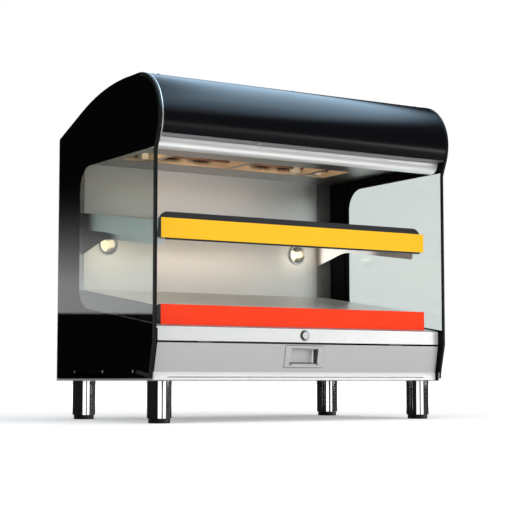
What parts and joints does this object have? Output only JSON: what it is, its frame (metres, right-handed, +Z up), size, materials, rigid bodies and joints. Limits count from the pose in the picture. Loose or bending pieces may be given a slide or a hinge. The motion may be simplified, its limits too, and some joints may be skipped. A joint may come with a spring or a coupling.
{
  "type": "heated shelf merchandiser",
  "caption": "Open-fronted heated counter cabinet with sloping warm shelves, a rounded black canopy over radiant heaters, framed side glasses and a drop-down control door.",
  "frame": {"origin": "middle of the bounding box, on the surface that the feet stand on", "axes": "+X runs across the front from the customer's left to right, +Y from the customer's side to the rear, +Z up"},
  "size_m": [0.914, 0.634, 0.895],
  "materials": {
    "side_glass": "clear tempered glass, faint green edge",
    "black_enamel": "fired black enamel behind glass",
    "brushed_stainless": "satin, brushed lengthwise",
    "polished_stainless": "bright polished",
    "bright_steel": "bright zinc plated",
    "black_canopy_paint": "gloss black powder coat",
    "satin_aluminium": "satin anodised",
    "warm_worn_stainless": "satin, slightly dulled by heat",
    "gilded_reflector": "heat-tinted gold reflector",
    "element_sheath": "matte oxidised sheath",
    "cream_ceramic": "glazed cream ceramic",
    "lamp_glass": "clear heat-proof lens",
    "lamp_mirror": "vacuum metallised",
    "bulb_glass": "clear capsule",
    "black_nylon": "moulded, fine grain",
    "galvanised_sheet": "zinc-coated, faint spangle",
    "polished_chrome": "polished plate",
    "dark_magnet": "sintered, dark nickel",
    "black_knob": "moulded, satin",
    "black_sleeving": "woven sleeve, matte",
    "red_silicone": "silicone, matte",
    "mineral_wool": "pressed fibre board",
    "yellow_strip": "gloss print under clear film",
    "red_strip": "gloss print under clear film",
    "black_foot": "moulded nylon, satin"
  },
  "bodies": {
    "root": {"left_side_glass": "side_glass", "right_side_glass": "side_glass", "left_side_frame": "brushed_stainless", "right_side_frame": "brushed_stainless", "border_prints": "black_enamel", "side_glass_screws": "bright_steel", "canopy_skin": "black_canopy_paint", "canopy_splice": "satin_aluminium", "panel_screws": "bright_steel", "roof_panel": "brushed_stainless", "canopy_hem": "satin_aluminium", "front_valance": "polished_stainless", "heater_soffit": "warm_worn_stainless", "well_reflectors": "gilded_reflector", "radiant_element": "element_sheath", "element_supports": "cream_ceramic", "rear_wall": "brushed_stainless", "lamp_bezels": "polished_stainless", "lamp_lenses": "lamp_glass", "lamp_reflectors": "lamp_mirror", "lamp_bulbs": "bulb_glass", "rear_posts": "brushed_stainless", "rear_cover": "brushed_stainless", "cable_gland": "black_nylon", "base_pan": "galvanised_sheet", "base_deck": "brushed_stainless", "front_bar": "brushed_stainless", "lock_housing": "polished_chrome", "door_pivots": "bright_steel", "catch_magnets": "dark_magnet", "control_panel": "galvanised_sheet", "thermostats": "cream_ceramic", "switch_bodies": "black_nylon", "terminal_block": "cream_ceramic", "wiring_harness": "black_sleeving", "upper_shelf": "brushed_stainless", "lower_shelf": "brushed_stainless", "shelf_base_plates": "galvanised_sheet", "shelf_heating_mats": "red_silicone", "shelf_insulation": "mineral_wool", "shelf_brackets": "brushed_stainless", "upper_sign_holder": "black_nylon", "lower_sign_holder": "black_nylon", "upper_sign_strip": "yellow_strip", "lower_sign_strip": "red_strip", "leg_tubes": "polished_chrome", "leg_plugs": "black_nylon", "leg_bolts": "bright_steel"},
    "door": {"access_door": "brushed_stainless", "door_pull": "brushed_stainless"},
    "lock": {"lock_plug": "polished_chrome", "lock_cam": "bright_steel"},
    "upper_heat_control": {"upper_heat_knob": "black_knob"},
    "lower_heat_control": {"lower_heat_knob": "black_knob"},
    "power_switch": {"power_rocker": "black_knob"},
    "lights_switch": {"lights_rocker": "black_knob"},
    "levelling_foot_front_left": {"foot_front_left": "black_foot"},
    "levelling_foot_rear_left": {"foot_rear_left": "black_foot"},
    "levelling_foot_front_right": {"foot_front_right": "black_foot"},
    "levelling_foot_rear_right": {"foot_rear_right": "black_foot"}
  },
  "joints": [
    {"name": "door_drop", "type": "hinge", "parent": "root", "child": "door", "pos_m": [0, -0.2572, 0.1115], "axis": [1, 0, 0], "range_deg": [0, 90]},
    {"name": "lock_turn", "type": "hinge", "parent": "root", "child": "lock", "pos_m": [0, -0.2605, 0.2245], "axis": [0, 1, 0], "range_deg": [0, 90]},
    {"name": "upper_heat_turn", "type": "hinge", "parent": "root", "child": "upper_heat_control", "pos_m": [0.16, -0.212, 0.158], "axis": [0, 1, 0], "range_deg": [0, 270]},
    {"name": "lower_heat_turn", "type": "hinge", "parent": "root", "child": "lower_heat_control", "pos_m": [0.24, -0.212, 0.158], "axis": [0, 1, 0], "range_deg": [0, 270]},
    {"name": "power_rock", "type": "hinge", "parent": "root", "child": "power_switch", "pos_m": [0.315, -0.208, 0.158], "axis": [1, 0, 0], "range_deg": [0, 14]},
    {"name": "lights_rock", "type": "hinge", "parent": "root", "child": "lights_switch", "pos_m": [0.37, -0.208, 0.158], "axis": [1, 0, 0], "range_deg": [0, 14]},
    {"name": "level_front_left", "type": "slide", "parent": "root", "child": "levelling_foot_front_left", "axis": [0, 0, -1], "range_m": [0, 0.025]},
    {"name": "level_rear_left", "type": "slide", "parent": "root", "child": "levelling_foot_rear_left", "axis": [0, 0, -1], "range_m": [0, 0.025]},
    {"name": "level_front_right", "type": "slide", "parent": "root", "child": "levelling_foot_front_right", "axis": [0, 0, -1], "range_m": [0, 0.025]},
    {"name": "level_rear_right", "type": "slide", "parent": "root", "child": "levelling_foot_rear_right", "axis": [0, 0, -1], "range_m": [0, 0.025]}
  ]
}
